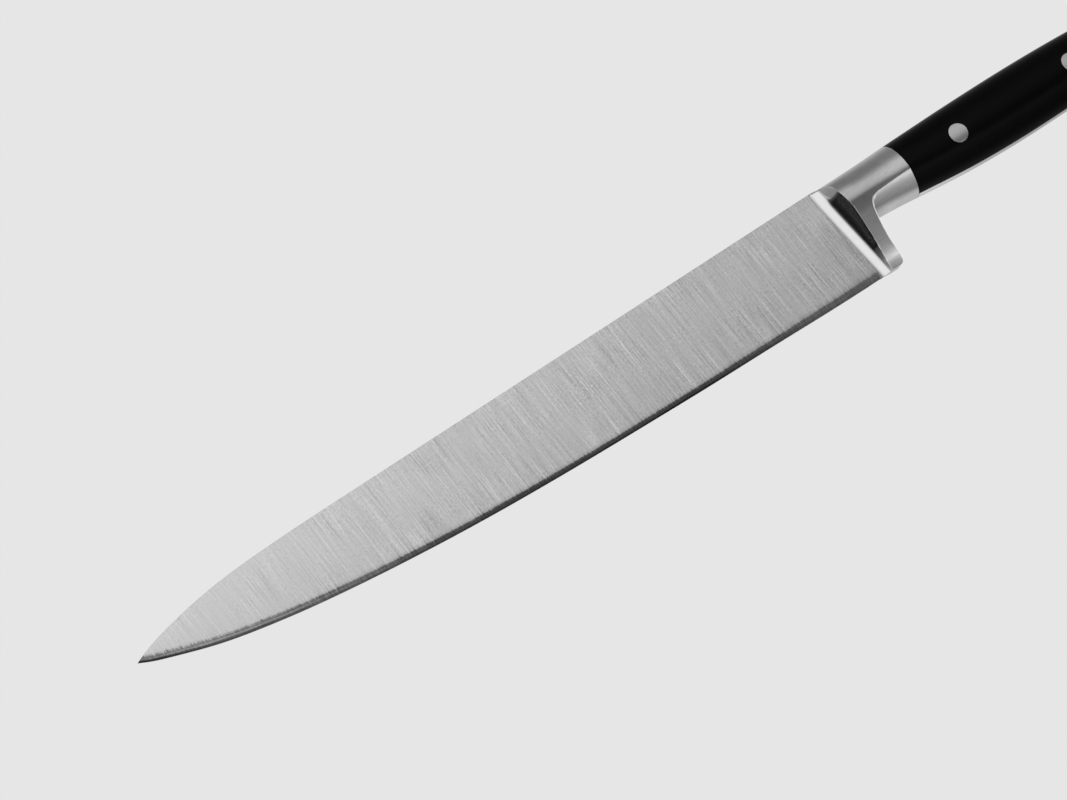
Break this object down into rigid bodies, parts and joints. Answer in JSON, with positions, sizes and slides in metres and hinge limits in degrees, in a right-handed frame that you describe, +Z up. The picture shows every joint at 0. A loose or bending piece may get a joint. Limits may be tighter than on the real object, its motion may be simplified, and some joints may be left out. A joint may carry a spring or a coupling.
{
  "type": "carving knife",
  "caption": "Forged full-tang carving knife with a narrow satin blade, a polished bolster with finger guard, and black riveted grip scales.",
  "frame": {"origin": "middle of the bounding box, on the plane the knife lies on", "axes": "+X from the tip towards the butt, +Y from the cutting edge towards the spine, +Z up out of the left side; the blade's middle plane is parallel to XY"},
  "size_m": [0.3254, 0.0258, 0.0136],
  "materials": {
    "blade_steel": "blade ground satin across its width, fine dark edge bevel; bolster, guard and tang polished",
    "scale_black": "smooth black moulded grip plastic with a soft sheen",
    "rivet_steel": "polished stainless rivet heads, ground flush"
  },
  "bodies": {
    "root": {"forged_blade": "blade_steel", "left_scale": "scale_black", "right_scale": "scale_black", "front_rivet_socket": "rivet_steel", "front_rivet_pin": "rivet_steel", "middle_rivet_socket": "rivet_steel", "middle_rivet_pin": "rivet_steel", "rear_rivet_socket": "rivet_steel", "rear_rivet_pin": "rivet_steel"}
  },
  "joints": []
}
